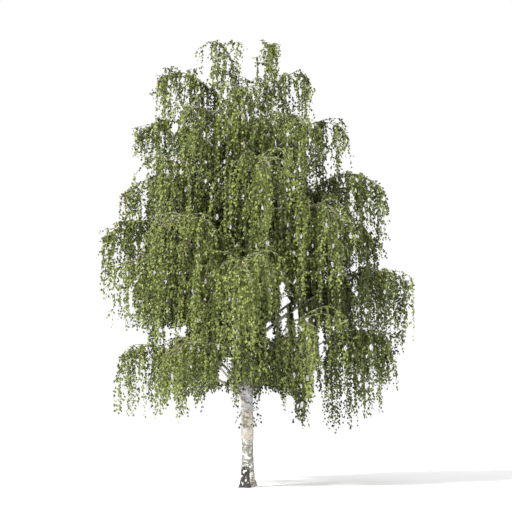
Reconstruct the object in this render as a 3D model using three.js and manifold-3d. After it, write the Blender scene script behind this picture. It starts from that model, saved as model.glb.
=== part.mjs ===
// A weeping silver birch, 12 m tall, cut off level at the ground. Lengths are in millimetres and angles in
// degrees. +Z is up, +X is to the viewer's right, +Y is away from the viewer, and the origin is the middle
// of the flat cut under the trunk. A bearing is measured from +X towards +Y.

import * as THREE from "three";
import Module from "manifold-3d";

const wasm = await Module();
wasm.setup();

// The trunk: height, how far its middle lies to the right and to the back, and its radius there
const TRUNK_LEVELS = [
  [0, 0, 0, 165],
  [1300, -16, 10, 157],
  [2400, -27, 20, 149],
  [4400, 10, -15, 132],
  [6400, 27, 0, 108],
  [7700, -14, 20, 86],
  [8750, 120, 5, 68],
  [9800, -60, -10, 48],
  [10500, -245, 0, 34],
  [11150, -420, 5, 20],
];
const TRUNK_SIDES = 11;
const TRUNK_RINGS = [
  0, 90, 220, 420, 800, 1400, 2400, 3400, 4400, 5400, 6400, 7050, 7700, 8225, 8750, 9275, 9800, 10150, 10500,
  11150,
];
const FLARE = { spread: 78, height: 210, roots: 5, depth: 0.4, turn: 40 };

// Tiers of boughs: the height of their arch, how much lower it is at the front and back and how much on the
// left, how far they reach on the left and on the right, and how far their foliage hangs. Thin ones have no
// bough of their own: their stems leave the trunk.
const TIERS = [
  { name: "skirt", crest: 4050, sink: 0, dip: 450, left: 3700, right: 4150, hang: 2420 },
  { name: "low", crest: 5600, sink: 0, dip: 0, left: 4000, right: 4700, hang: 2050 },
  { name: "wide", crest: 6950, sink: 0, dip: 0, left: 4200, right: 3900, hang: 2100 },
  { name: "middle", crest: 8250, sink: 0, dip: 0, left: 3760, right: 3900, hang: 2150 },
  { name: "shoulder", crest: 9800, sink: 200, dip: 0, left: 3280, right: 2850, hang: 1950 },
  { name: "upper", crest: 11120, sink: 700, dip: 0, left: 2650, right: 1960, hang: 1500 },
];
const BEARINGS = {
  skirt: [4, 66, 128, 184, 240, 297],
  low: [-3, 48, 104, 156, 215, 268],
  wide: [16, 78, 130, 179, 238, 306],
  middle: [-2, 52, 110, 168, 214, 276],
  shoulder: [8, 88, 176, 238, 300],
  upper: [-10, 82, 178, 262],
};
const THIN_TIERS = ["shoulder", "upper"];
const STAGGER = 240; // every other bough of a tier leaves the trunk this much higher
const LIFT = 400; // how far a front or back bough's arch may lie above or below its tier's
const RISE = 0.42; // how far a bough climbs to its crest, as a share of its reach
const THIN_RISE = 0.5;

// The arch of a bough and of the stem beyond it: each point's distance out as a share of the reach, and its
// depth below the crest as a share of the climb. The bough ends at the last, where it enters its foliage.
const BOUGH_ARCH = [
  [0.2, 0.5],
  [0.38, 0.34],
  [0.5, 0.13],
];
const STEM_ARCH = { ahead: 0.15, over: [0.82, -0.12], end: 0.92, drop: 0.24 };
const DEEPEST = 1.1; // how far below its crest a mass may hang, as a share of its hang
const BOUGH_RADIUS = { root: 13, perReach: 0.0085, tip: 17 };
const BOUGH_SIDES = 5;
const BOUGH_STEPS = 4;

// The two leaders: one is the trunk's own tip, and the other leaves the trunk and stands to its right
const LEADERS = [
  { name: "leader_left", crest: 12312, out: -760, hang: 850, reach: 1130 },
  {
    name: "leader_right",
    crest: 12220,
    out: 330,
    hang: 850,
    reach: 800,
    leaves: 9050,
    bow: [400, 230, 9900],
    tip: [450, 60, 10850],
  },
];
const LEADER_ARCH = { climb: 0.4, over: 0.7, drop: 0.5, deepest: 2 };
const LEADER_SPREAD = 430;
const LEADER_BEARING = 270; // its twigs leave to the left and the right of this

// Foliage: each mass has one stem, twigs that leave it left and right by turns and hang, and leaf sprays
const STEM_RADIUS = { trunk: 30, root: 20, tip: 12, shareOfTrunk: 0.6 };
const STEM_STEPS = 3;
const LEAFY = { bough: 0.05, thin: 0.3, tip: 0.1 }; // where along a stem the foliage starts
const LAST_TWIG = 0.95; // where along it the last twig leaves
const TWIGS = 6;
const TWIG_RADIUS = { root: 6, tip: 6 };
const TWIG_STEPS = 2;
const TWIG_PLACE = 0.7; // how far along its own part of the stem a twig may leave
const TWIG_BEARING = { least: 40, range: 60 }; // of a twig, to either side of its stem's
const TWIG_REACH = { least: 0.7, range: 0.6 };
const TWIG_ARCH = { over: 0.8, rise: 0.12, least: 0.35 };
const TWIG_TAPER = [1.15, 0.6]; // of the twigs' reach, from the mass's first twig to its last
const LEAST_DROP = 0.12; // how far a twig hangs at the least, as a share of its mass's hang
const SPRIG_SIDES = 3; // of stems and twigs
const SPREAD = 0.3; // how far the twigs stand out from their stem, as a share of the reach
const SPRAY = { share: 0.62, shortest: 800, longest: 1380, sunk: 2 };
const SPRAY_FORM = { width: 0.43, thickness: 0.05, widest: 0.4 }; // shares of its length
const SPRAY_SIDES = 3;
const SPRAY_LEAN = { outwards: 0.25, aside: 0.35 };
const SPRAY_SIZE = { least: 0.75, range: 0.35 };
const SPRAY_TURN = 50; // how far a spray may be turned from facing outwards
const SPRAYS_ON_TWIG = [0.55]; // besides the one that the twig ends in
const SPRAYS_ON_STEM = [0.12, 0.4, 0.72];
const TRIES = 6; // for each twig or spray, until one has room
const SHORTER = 0.11; // each further try is this much shorter

const GAP = 0.3; // between pieces that touch
const CLEARANCE = 6; // kept by twigs and sprays to every limb
const SPACE_MARGIN = 12; // kept by each mass to the side of its own space
const CENTRE = { along: 0.66, below: 0.36 }; // of a mass's space: shares of its stem and of its hang
const SEED = 2031;
const SEED_STEP = 97; // from each mass's own stream to the next one's

const FINISHES = {
  bark: { color: 0xc9c3b8, roughness: 0.75, metalness: 0 },
  bough: { color: 0xa39c8e, roughness: 0.8, metalness: 0 },
  foliage: { color: 0x66703f, roughness: 0.65, metalness: 0 },
};

const UP = new THREE.Vector3(0, 0, 1);
const vector = (x, y, z) => new THREE.Vector3(x, y, z);
const radians = THREE.MathUtils.degToRad;
const lerp = THREE.MathUtils.lerp;

// A repeatable stream of numbers from 0 to 1
function stream(seed) {
  let state = Math.imul(seed, 2654435761) >>> 0;
  return () => {
    state = (Math.imul(state, 1664525) + 1013904223) >>> 0;
    return state / 4294967296;
  };
}

// The columns of the trunk's levels at a height, eased from each level to the next
function trunkAt(height) {
  const last = TRUNK_LEVELS.length - 2;
  const found = TRUNK_LEVELS.findIndex((level, i) => i > 0 && height < level[0]) - 1;
  const below = found < 0 ? last : found;
  const [low, high] = [TRUNK_LEVELS[below], TRUNK_LEVELS[below + 1]];
  const share = THREE.MathUtils.clamp((height - low[0]) / (high[0] - low[0]), 0, 1);
  const eased = share * share * (3 - 2 * share);
  return {
    middle: vector(lerp(low[1], high[1], eased), lerp(low[2], high[2], eased), height),
    radius: lerp(low[3], high[3], share),
  };
}

// A closed mesh of rings, each a list of as many corners. Each end is a flat cap, or a point where one is
// given.
function closedRings(rings, point = null, start = null) {
  const sides = rings[0].length;
  const places = rings.flat();
  const top = places.length - sides;
  const faces = [];
  const close = (first, apex, turn) => {
    for (let i = apex === null ? 1 : 0; i < (apex === null ? sides - 1 : sides); i++) {
      const [a, b, c] = [first + i, first + ((i + 1) % sides), apex ?? first];
      faces.push(...(turn ? [b, a, c] : [a, b, c]));
    }
  };
  for (let r = 0; r < top; r += sides)
    for (let i = 0; i < sides; i++) {
      const [a, b] = [r + i, r + ((i + 1) % sides)];
      faces.push(a, b, b + sides, a, b + sides, a + sides);
    }
  close(0, start ? places.push(start) - 1 : null, true);
  close(top, point ? places.push(point) - 1 : null, false);
  const geometry = new THREE.BufferGeometry().setFromPoints(places);
  geometry.setIndex(faces);
  return geometry;
}

function solidOf(geometry) {
  return new wasm.Manifold(
    new wasm.Mesh({
      numProp: 3,
      vertProperties: geometry.attributes.position.array,
      triVerts: new Uint32Array(geometry.index.array),
    }),
  );
}

// The trunk's own surface, with its roots' ridges at the ground, or the same a little thicker
function trunkGeometry(extra = 0) {
  const rings = TRUNK_RINGS.map((height) => {
    const { middle, radius } = trunkAt(height);
    const flare = FLARE.spread * Math.exp(-height / FLARE.height);
    return Array.from({ length: TRUNK_SIDES }, (_, i) => {
      const angle = (2 * Math.PI * i) / TRUNK_SIDES;
      const ridge = 1 + FLARE.depth * Math.cos(FLARE.roots * angle + radians(FLARE.turn));
      const reach = radius + flare * ridge + extra;
      return vector(middle.x + reach * Math.cos(angle), middle.y + reach * Math.sin(angle), height);
    });
  });
  return closedRings(rings);
}

// A limb's middle line: points along one or more joined curves, and its heading at each
function lineOf(curves, steps) {
  const shares = curves.flatMap((curve, c) =>
    Array.from({ length: steps + (c ? 0 : 1) }, (_, i) => ({ curve, t: (i + (c ? 1 : 0)) / steps })),
  );
  return {
    points: shares.map(({ curve, t }) => curve.getPoint(t)),
    headings: shares.map(({ curve, t }) => curve.getTangent(t)),
  };
}

// The point at a share of the way along a limb's middle line
function pointOn({ points }, share) {
  const place = share * (points.length - 1);
  const step = Math.min(Math.floor(place), points.length - 2);
  return points[step].clone().lerp(points[step + 1], place - step);
}

// One section across a limb or a spray: corners on an ellipse, the first of them on the side's axis
function section(middle, side, other, halves, sides) {
  return Array.from({ length: sides }, (_, k) => {
    const turn = (2 * Math.PI * k) / sides;
    return middle
      .clone()
      .addScaledVector(side, halves[0] * Math.cos(turn))
      .addScaledVector(other, halves[1] * Math.sin(turn));
  });
}

// A tapering limb along its middle line, with a section square to its heading at each point. It ends in a
// flat cap, or swells into a leaf spray of its own.
function limbGeometry({ points, headings }, radii, sides, spray = null) {
  const last = points.length - 1;
  let side = Math.abs(headings[0].z) > 0.9 ? vector(1, 0, 0) : UP;
  const rings = points.map((middle, i) => {
    side = side.clone().addScaledVector(headings[i], -side.dot(headings[i])).normalize();
    const radius = lerp(radii[0], radii[1], i / last);
    return section(middle, side, headings[i].clone().cross(side), [radius, radius], sides);
  });
  if (!spray) return closedRings(rings);
  const { direction, length, turn } = spray;
  side = side.clone().addScaledVector(direction, -side.dot(direction)).normalize();
  side.applyAxisAngle(direction, turn);
  const middle = points[last].clone().addScaledVector(direction, SPRAY_FORM.widest * length);
  rings.push(section(middle, side, direction.clone().cross(side), sprayHalves(length), sides));
  return closedRings(rings, points[last].clone().addScaledVector(direction, length));
}

// The half thickness and half width that give a three-cornered section a spray's full sizes
function sprayHalves(length) {
  return [(SPRAY_FORM.thickness * length) / 1.5, (SPRAY_FORM.width * length) / Math.sqrt(3)];
}

// A leaf spray of its own: it swells from a point just past the middle of the limb that carries it
function sprayGeometry(root, direction, length, side) {
  const start = root.clone().addScaledVector(direction, -SPRAY.sunk);
  const middle = root.clone().addScaledVector(direction, SPRAY_FORM.widest * length);
  const widest = section(middle, side, direction.clone().cross(side), sprayHalves(length), SPRAY_SIDES);
  return closedRings([widest], root.clone().addScaledVector(direction, length), start);
}

// A point at a distance from the trunk's line on a bearing, and at a height
function outward(foot, bearing, distance, height) {
  const angle = radians(bearing);
  return vector(foot.x + distance * Math.cos(angle), foot.y + distance * Math.sin(angle), height);
}

// The arching curves of one bough and of its foliage's stem, from the trunk to the crown's edge
function archOf(tier, bearing, index, next) {
  const thin = THIN_TIERS.includes(tier.name);
  const side = Math.cos(radians(bearing));
  const across = Math.abs(Math.sin(radians(bearing)));
  const reach = lerp(tier.left, tier.right, (1 + side) / 2);
  const rise = (thin ? THIN_RISE : RISE) * reach;
  const lower = tier.dip * Math.max(0, -side);
  const hang = tier.hang - lower;
  const crest = tier.crest - lower + across * (LIFT * (2 * next() - 1) - tier.sink);
  const leaves = crest - rise + (index % 2) * STAGGER;
  const foot = trunkAt(leaves).middle;
  const at = ([out, below]) => outward(foot, bearing, out * reach, crest - below * rise);
  const lead = new THREE.CubicBezierCurve3(foot, ...BOUGH_ARCH.map(at));
  const heading = lead.getTangent(1);
  const start = lead.v3.clone().addScaledVector(heading, thin ? 0 : GAP);
  const stem = new THREE.CubicBezierCurve3(
    start,
    start.clone().addScaledVector(heading, STEM_ARCH.ahead * reach),
    at(STEM_ARCH.over),
    outward(foot, bearing, STEM_ARCH.end * reach, crest - STEM_ARCH.drop * hang),
  );
  return { reach, thin, hang, lead, stem };
}

// The stem of a leader's foliage: up from the leader's tip, and over to one side
function leaderStem(tip, heading, { crest, out, hang }) {
  const start = tip.clone().addScaledVector(heading, GAP);
  return new THREE.CubicBezierCurve3(
    start,
    start.clone().addScaledVector(heading, LEADER_ARCH.climb * (crest - start.z)),
    vector(start.x + LEADER_ARCH.over * out, start.y, crest),
    vector(start.x + out, start.y, crest - LEADER_ARCH.drop * hang),
  );
}

// The root radius of a stem that leaves the trunk at a height
function trunkStemRadius(height) {
  return Math.min(STEM_RADIUS.trunk, STEM_RADIUS.shareOfTrunk * trunkAt(height).radius);
}

// One bough, where its tier has them, and the foliage that grows on from it
function planTier(tier, bearing, index, next, grown) {
  const { reach, thin, hang, lead, stem } = archOf(tier, bearing, index, next);
  const label = tier.name + "_" + (index + 1);
  if (!thin) {
    const radii = [BOUGH_RADIUS.root + BOUGH_RADIUS.perReach * reach, BOUGH_RADIUS.tip];
    grown.boughs.push({ name: "bough_" + label, line: lineOf([lead], BOUGH_STEPS), radii });
  }
  grown.masses.push({
    name: "foliage_" + label,
    line: lineOf(thin ? [lead, stem] : [stem], STEM_STEPS),
    radii: [thin ? trunkStemRadius(lead.v0.z) : STEM_RADIUS.root, STEM_RADIUS.tip],
    leafy: thin ? LEAFY.thin : LEAFY.bough,
    foot: lead.v0,
    reach,
    lowest: stem.v2.z - DEEPEST * hang,
    spread: SPREAD * reach,
    bearing,
    hang,
  });
}

// The foliage of one leader: on the trunk's own tip, or on a stem that leaves the trunk lower down
function planLeader(leader, grown) {
  const { name, crest, hang, reach, leaves, bow, tip } = leader;
  const top = trunkAt(TRUNK_RINGS.at(-1)).middle;
  const lead = new THREE.QuadraticBezierCurve3(leaves ? trunkAt(leaves).middle : top);
  if (leaves) [lead.v1, lead.v2] = [vector(...bow), vector(...tip)];
  const stem = leaves ? leaderStem(lead.v2, lead.getTangent(1), leader) : leaderStem(top, UP, leader);
  grown.masses.push({
    name: "foliage_" + name,
    line: lineOf(leaves ? [lead, stem] : [stem], STEM_STEPS),
    radii: [leaves ? trunkStemRadius(leaves) : STEM_RADIUS.root, STEM_RADIUS.tip],
    leafy: leaves ? LEAFY.thin : LEAFY.tip,
    foot: lead.v0,
    reach,
    lowest: crest - LEADER_ARCH.deepest * hang,
    spread: LEADER_SPREAD,
    bearing: LEADER_BEARING,
    hang,
  });
}

// Everything that grows: boughs, and masses with the line of each one's stem
function plan() {
  const grown = { boughs: [], masses: [] };
  const next = stream(SEED);
  for (const tier of TIERS)
    BEARINGS[tier.name].forEach((bearing, i) => planTier(tier, bearing, i, next, grown));
  for (const leader of LEADERS) planLeader(leader, grown);
  return grown;
}

const { boughs, masses } = plan();
const trunkRoom = solidOf(trunkGeometry(GAP + 0.1));

for (const { line, radii, ...bough } of boughs.splice(0))
  boughs.push({
    ...bough,
    root: line.points[0],
    solid: solidOf(limbGeometry(line, radii, BOUGH_SIDES)).subtract(trunkRoom),
    guard: solidOf(limbGeometry(line, radii.map((radius) => radius + CLEARANCE), BOUGH_SIDES)),
  });

// What the twigs and sprays keep clear of: the trunk and boughs together, and the stem of each mass
const limbs = boughs.reduce((all, { guard }) => all.add(guard), solidOf(trunkGeometry(CLEARANCE)));
for (const mass of masses) {
  const stem = (extra) => solidOf(limbGeometry(mass.line, mass.radii.map((r) => r + extra), SPRIG_SIDES));
  mass.solid = stem(0).subtract(trunkRoom);
  mass.guard = stem(2 * CLEARANCE);
  const along = lerp(mass.leafy, 1, CENTRE.along);
  mass.centre = pointOn(mass.line, along).addScaledVector(UP, -CENTRE.below * mass.hang);
}

// True if every corner lies within the mass's reach from the trunk's line, above its lowest tips, and nearer
// to its own centre than to any other's by the margin
function inSpace(geometry, mass) {
  const place = geometry.attributes.position;
  const corners = Array.from({ length: place.count }, (_, i) => vector().fromBufferAttribute(place, i));
  const { foot, reach, lowest } = mass;
  const near = ({ x, y, z }) => Math.hypot(x - foot.x, y - foot.y) < reach && z > lowest;
  if (!corners.every(near)) return false;
  return masses.every((other) => {
    if (other === mass) return true;
    const apart = 2 * other.centre.distanceTo(mass.centre);
    return corners.every(
      (corner) =>
        corner.distanceToSquared(other.centre) - corner.distanceToSquared(mass.centre) > SPACE_MARGIN * apart,
    );
  });
}

function hasRoom(geometry, mass) {
  if (!inSpace(geometry, mass)) return false;
  const solid = solidOf(geometry);
  return (
    solid.intersect(limbs).isEmpty() &&
    masses.every((other) => other === mass || solid.intersect(other.guard).isEmpty())
  );
}

// The first of a few shapes, each made shorter, that has room in the mass's space, fused to it, or none
function fuse(mass, makeShape) {
  for (let i = 0; i < TRIES; i++) {
    const { geometry, ...found } = makeShape(1 - SHORTER * i);
    if (hasRoom(geometry, mass)) {
      mass.solid = mass.solid.add(solidOf(geometry));
      return found;
    }
  }
  return null;
}

// A way for a spray to hang and its size, leaning a little outwards
function sprayOf(mass, away, scale, next) {
  const usual = THREE.MathUtils.clamp(SPRAY.share * mass.hang, SPRAY.shortest, SPRAY.longest);
  const [x, y, size, turn] = [next(), next(), next(), next()];
  const direction = vector(SPRAY_LEAN.aside * (x - 0.5), SPRAY_LEAN.aside * (y - 0.5), -1);
  direction.addScaledVector(away, SPRAY_LEAN.outwards).normalize();
  const length = usual * scale * (SPRAY_SIZE.least + SPRAY_SIZE.range * size);
  return { direction, length, turn: radians(SPRAY_TURN) * (2 * turn - 1) };
}

// Hangs one leaf spray from a share of the way along a limb
function hangSpray(mass, line, share, away, next) {
  return fuse(mass, (scale) => {
    const { direction, length, turn } = sprayOf(mass, away, scale, next);
    const side = away.clone().addScaledVector(direction, -away.dot(direction)).normalize();
    side.applyAxisAngle(direction, turn);
    return { geometry: sprayGeometry(pointOn(line, share), direction, length, side) };
  });
}

// One twig from the mass's stem: out to a side and over, then down to the spray that it ends in
function growTwig(mass, index, next) {
  const usual = Math.max(LEAST_DROP * mass.hang, mass.hang - SPRAY.longest);
  return fuse(mass, (scale) => {
    const [place, turn, out, drop] = [next(), next(), next(), next()];
    const start = pointOn(mass.line, lerp(mass.leafy, LAST_TWIG, (index + TWIG_PLACE * place) / TWIGS));
    const aside = TWIG_BEARING.least + TWIG_BEARING.range * turn;
    const away = outward(vector(0, 0, 0), mass.bearing + (index % 2 ? aside : -aside), 1, 0);
    const taper = lerp(...TWIG_TAPER, index / (TWIGS - 1));
    const reach = mass.spread * scale * taper * (TWIG_REACH.least + TWIG_REACH.range * out);
    const fall = usual * scale * lerp(TWIG_ARCH.least, 1, drop);
    const over = start.clone().addScaledVector(away, TWIG_ARCH.over * reach);
    const curve = new THREE.QuadraticBezierCurve3(
      start,
      over.addScaledVector(UP, TWIG_ARCH.rise * reach),
      start.clone().addScaledVector(away, reach).addScaledVector(UP, -fall),
    );
    const line = lineOf([curve], TWIG_STEPS);
    const radii = [TWIG_RADIUS.root, TWIG_RADIUS.tip];
    return { geometry: limbGeometry(line, radii, SPRIG_SIDES, sprayOf(mass, away, scale, next)), line, away };
  });
}

// Grows one mass on its stem, each twig and spray by its own stream, and keeps the one body rooted there
function growMass(mass, seed) {
  for (let index = 0; index < TWIGS; index++) {
    const next = stream(seed + index);
    const twig = growTwig(mass, index, next);
    if (twig) for (const share of SPRAYS_ON_TWIG) hangSpray(mass, twig.line, share, twig.away, next);
  }
  const ahead = outward(vector(0, 0, 0), mass.bearing, 1, 0);
  SPRAYS_ON_STEM.forEach((share, i) =>
    hangSpray(mass, mass.line, lerp(mass.leafy, 1, share), ahead, stream(seed + TWIGS + i)),
  );
  mass.solid = mass.solid.decompose().sort((a, b) => b.volume() - a.volume())[0];
}

masses.forEach((mass, i) => growMass(mass, SEED + SEED_STEP * i));

// A named mesh whose own origin is the point where it is rooted
function meshOf(name, solid, root, finish) {
  const made = solid.getMesh();
  const geometry = new THREE.BufferGeometry();
  geometry.setAttribute("position", new THREE.BufferAttribute(made.vertProperties, 3));
  geometry.setIndex(new THREE.BufferAttribute(made.triVerts, 1));
  geometry.translate(-root.x, -root.y, -root.z);
  const mesh = new THREE.Mesh(geometry, new THREE.MeshStandardMaterial(finish));
  mesh.name = name;
  mesh.position.copy(root);
  return mesh;
}

const tree = new THREE.Group();
const limbGroup = new THREE.Group();
const foliageGroup = new THREE.Group();
tree.add(limbGroup, foliageGroup);
limbGroup.add(meshOf("trunk", solidOf(trunkGeometry()), vector(0, 0, 0), FINISHES.bark));
for (const bough of boughs) limbGroup.add(meshOf(bough.name, bough.solid, bough.root, FINISHES.bough));
for (const { name, solid, line } of masses)
  foliageGroup.add(meshOf(name, solid, line.points[0], FINISHES.foliage));

export default tree;
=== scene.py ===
"""A weeping silver birch, 12 m tall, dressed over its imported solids.

The trunk and the boughs keep the lines of the solids and get the relief of their bark. Each mass of foliage
grows on from its limb by the rule of the solids, carried on to finer twigs, hanging strands and single leaves
within the same reach. Lengths are in metres and angles in degrees. +Z is up, +X is to the viewer's right, +Y
is away from the viewer, and the origin is the middle of the flat cut under the trunk.
"""

from __future__ import annotations

import logging
import math
from dataclasses import dataclass, field
from enum import Enum

import bpy
import numpy as np
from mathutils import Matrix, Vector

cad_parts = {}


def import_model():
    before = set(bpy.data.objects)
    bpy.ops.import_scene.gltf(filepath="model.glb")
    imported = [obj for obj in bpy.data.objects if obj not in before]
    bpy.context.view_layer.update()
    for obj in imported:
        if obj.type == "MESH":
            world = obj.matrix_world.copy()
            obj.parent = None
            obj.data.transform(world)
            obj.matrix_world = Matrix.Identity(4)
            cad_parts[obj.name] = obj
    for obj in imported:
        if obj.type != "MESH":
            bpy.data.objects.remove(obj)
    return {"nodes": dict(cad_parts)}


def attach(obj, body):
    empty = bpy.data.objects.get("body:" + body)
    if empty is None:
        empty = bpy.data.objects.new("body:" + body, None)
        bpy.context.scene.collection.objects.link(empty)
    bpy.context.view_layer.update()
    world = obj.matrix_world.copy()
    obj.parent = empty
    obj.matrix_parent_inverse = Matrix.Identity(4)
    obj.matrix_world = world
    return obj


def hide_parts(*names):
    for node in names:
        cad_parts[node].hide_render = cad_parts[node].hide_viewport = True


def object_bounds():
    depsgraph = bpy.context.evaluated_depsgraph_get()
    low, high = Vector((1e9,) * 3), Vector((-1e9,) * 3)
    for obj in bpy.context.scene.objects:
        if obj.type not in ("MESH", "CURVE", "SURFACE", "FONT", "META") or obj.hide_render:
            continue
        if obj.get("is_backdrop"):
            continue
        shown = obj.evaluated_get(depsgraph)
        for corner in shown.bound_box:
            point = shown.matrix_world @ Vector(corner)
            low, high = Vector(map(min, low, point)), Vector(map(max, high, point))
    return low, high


log = logging.getLogger("birch")

Array = np.ndarray
Rng = np.random.Generator
Pair = tuple[float, float]  # the values that something lies between, where no comment says otherwise
Piece = bpy.types.Object
Material = bpy.types.Material

UP = np.array([0.0, 0.0, 1.0])
SEED = 2031
GOLDEN_TURN = 137.5  # between one leaf and the next round a strand
NEARLY_ZERO = 1e-9

# A leaf's four faces, by its corners: foot, left edge, middle, right edge and tip
LEAF_FACES = np.array([[0, 1, 2], [0, 2, 3], [1, 4, 2], [2, 4, 3]])

# The sockets of a Mix node that mixes colours: its share, its two colours and its result
MIX_SHARE, MIX_FIRST, MIX_SECOND, MIX_RESULT = 0, 6, 7, 2


@dataclass
class Stream:
    """The repeatable stream of numbers from 0 to 1 that the solids were planned with."""

    seed: int
    scatter: int = 2654435761  # keeps the streams of near seeds apart
    factor: int = 1664525
    shift: int = 1013904223
    size: int = 2**32

    def __post_init__(self) -> None:
        """Starts the stream at its seed."""
        self.state = (self.seed * self.scatter) % self.size

    def next(self) -> float:
        """Gives the next number: the state times a factor plus a shift, as a share of its size."""
        self.state = (self.state * self.factor + self.shift) % self.size
        return self.state / self.size


def mix(low: Array | float, high: Array | float, share: Array | float) -> Array | float:
    """Gives the value that lies a share of the way from low to high."""
    return low + (high - low) * share


def ease(low: float, high: float, value: Array) -> Array:
    """Gives 0 below low and 1 above high, and 3 s^2 - 2 s^3 of the share s between them."""
    share = np.clip((value - low) / (high - low), 0.0, 1.0)
    return share * share * (3.0 - 2.0 * share)


def unit(vectors: Array) -> Array:
    """Gives each vector divided by its own length."""
    return vectors / np.maximum(np.linalg.norm(vectors, axis=-1, keepdims=True), NEARLY_ZERO)


def level(bearings: Array | float) -> Array:
    """Gives the level unit vectors at bearings in degrees, measured from +X towards +Y."""
    angles = np.radians(np.asarray(bearings, dtype=float))
    return np.stack([np.cos(angles), np.sin(angles), np.zeros_like(angles)], axis=-1)


def facing(angle: Array, bearing: float) -> Array:
    """Gives how far places at angles round a limb face a bearing in degrees, from 0 to 1."""
    return 0.5 + 0.5 * np.cos(angle - math.radians(bearing))


def bezier(control: Array, shares: Array) -> Array:
    """Gives points along Bezier curves: neighbouring control points are mixed by the share until one is left.

    Args:
        control: Control points, as (points, curves, 3).
        shares: How far along each curve, as (curves, places).

    Returns:
        The points, as (curves, places, 3).
    """
    points = np.repeat(control[:, :, None, :], shares.shape[1], axis=2)
    while len(points) > 1:
        points = mix(points[:-1], points[1:], shares[None, :, :, None])
    return points[0]


def noise(u: Array, v: Array, columns: int, rng: Rng) -> Array:
    """Gives smooth noise from 0 to 1: random numbers at whole places of u and v, eased between them.

    Args:
        u: Places round the limb, in cells. They repeat after the columns.
        v: Places along the limb, in cells from 0.
        columns: Number of cells round the limb.
        rng: The source of the random numbers.

    Returns:
        The noise at each place.
    """
    table = rng.random((int(v.max()) + 2, columns))
    i, j = np.floor(v).astype(int), np.floor(u).astype(int)
    s, t = ease(0.0, 1.0, v - i), ease(0.0, 1.0, u - j)
    left, right = j % columns, (j + 1) % columns
    return mix(mix(table[i, left], table[i, right], t), mix(table[i + 1, left], table[i + 1, right], t), s)


def cells(turn: Array, height: Array, size: tuple[int, float], rng: Rng) -> Array:
    """Gives smooth noise on a limb, in cells of a size given as their number round it and their height."""
    return noise(turn * size[0], height / size[1], size[0], rng)


@dataclass
class MeshParts:
    """Vertices and faces that are gathered from arrays and made into one mesh."""

    vertices: list[Array] = field(default_factory=list)
    faces: list[Array] = field(default_factory=list)
    finishes: list[Array] = field(default_factory=list)
    count: int = 0

    def add(self, vertices: Array, faces: list[Array], finish: Array | int = 0) -> None:
        """Adds a surface.

        Args:
            vertices: Its corners, in any shape that ends in 3.
            faces: Arrays of faces, each with its own number of corners, that count the corners from 0.
            finish: The material's number for every face, or one for each face of a single array.
        """
        flat = vertices.reshape(-1, 3)
        self.vertices.append(flat)
        for array in faces:
            self.faces.append(array + self.count)
            self.finishes.append(np.broadcast_to(finish, len(array)))
        self.count += len(flat)

    def triangles(self) -> int:
        """Counts the triangles that the faces make."""
        return sum(len(array) * (array.shape[1] - 2) for array in self.faces)

    def build(self, name: str, smooth: bool) -> Piece:
        """Makes the mesh and its object, which sits at the origin.

        Args:
            name: The piece's name.
            smooth: True to shade it smooth.

        Returns:
            The new object.
        """
        mesh = bpy.data.meshes.new(name)
        places = np.concatenate(self.vertices).astype(np.float32)
        sizes = np.concatenate([np.full(len(array), array.shape[1]) for array in self.faces])
        corners = np.concatenate([array.ravel() for array in self.faces]).astype(np.int32)
        mesh.vertices.add(len(places))
        mesh.vertices.foreach_set("co", places.ravel())
        mesh.loops.add(len(corners))
        mesh.loops.foreach_set("vertex_index", corners)
        mesh.polygons.add(len(sizes))
        mesh.polygons.foreach_set("loop_start", (np.cumsum(sizes) - sizes).astype(np.int32))
        mesh.polygons.foreach_set("material_index", np.concatenate(self.finishes).astype(np.int32))
        mesh.update(calc_edges=True)
        if smooth:
            mesh.shade_smooth()
        else:
            mesh.shade_flat()
        piece = bpy.data.objects.new(name, mesh)
        bpy.context.scene.collection.objects.link(piece)
        return piece


def tubes(lines: Array, radii: Array, across: Array) -> tuple[Array, list[Array]]:
    """Carries a circle along many lines of as many points. Each is closed by a flat root and a pointed tip.

    A corner is the line's point plus the radius times (cos a times one side plus sin a times the other). The
    first side is square to the line and nearest to the given vector, and the other is square to both.

    Args:
        lines: The lines, as (lines, places, 3).
        radii: The radius at each place for each side, as (lines, places, sides).
        across: A level vector for each line, as (lines, 3).

    Returns:
        The corners, as (lines, corners, 3), and the faces.
    """
    number, places, sides = radii.shape
    heading = unit(np.gradient(lines, axis=1))
    other = unit(np.cross(heading, across[:, None, :]))
    first = np.cross(other, heading)
    angles = 2.0 * math.pi * np.arange(sides) / sides
    ring = first[:, :, None, :] * np.cos(angles)[:, None] + other[:, :, None, :] * np.sin(angles)[:, None]
    rings = (lines[:, :, None, :] + ring * radii[..., None])[:, :-1].reshape(number, -1, 3)
    corners = np.concatenate([rings, lines[:, -1:]], axis=1)
    index = np.arange(number * corners.shape[1]).reshape(number, -1)
    circle = index[:, :-1].reshape(number, places - 1, sides)
    low, high, last = circle[:, :-1], circle[:, 1:], circle[:, -1]
    walls = np.stack([low, np.roll(low, -1, axis=2), np.roll(high, -1, axis=2), high], axis=-1)
    tip = np.stack([last, np.roll(last, -1, axis=1), np.broadcast_to(index[:, -1:], last.shape)], axis=-1)
    return corners, [walls.reshape(-1, 4), tip.reshape(-1, 3), circle[:, 0, ::-1]]


def linear(colour: str) -> tuple[float, float, float, float]:
    """Turns an sRGB hex colour to linear: c / 12.92 up to 0.04045, and ((c + 0.055) / 1.055)^2.4 above it."""
    channels = [int(colour[i : i + 2], 16) / 255.0 for i in (1, 3, 5)]
    return (*(c / 12.92 if c <= 0.04045 else ((c + 0.055) / 1.055) ** 2.4 for c in channels), 1.0)


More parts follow.
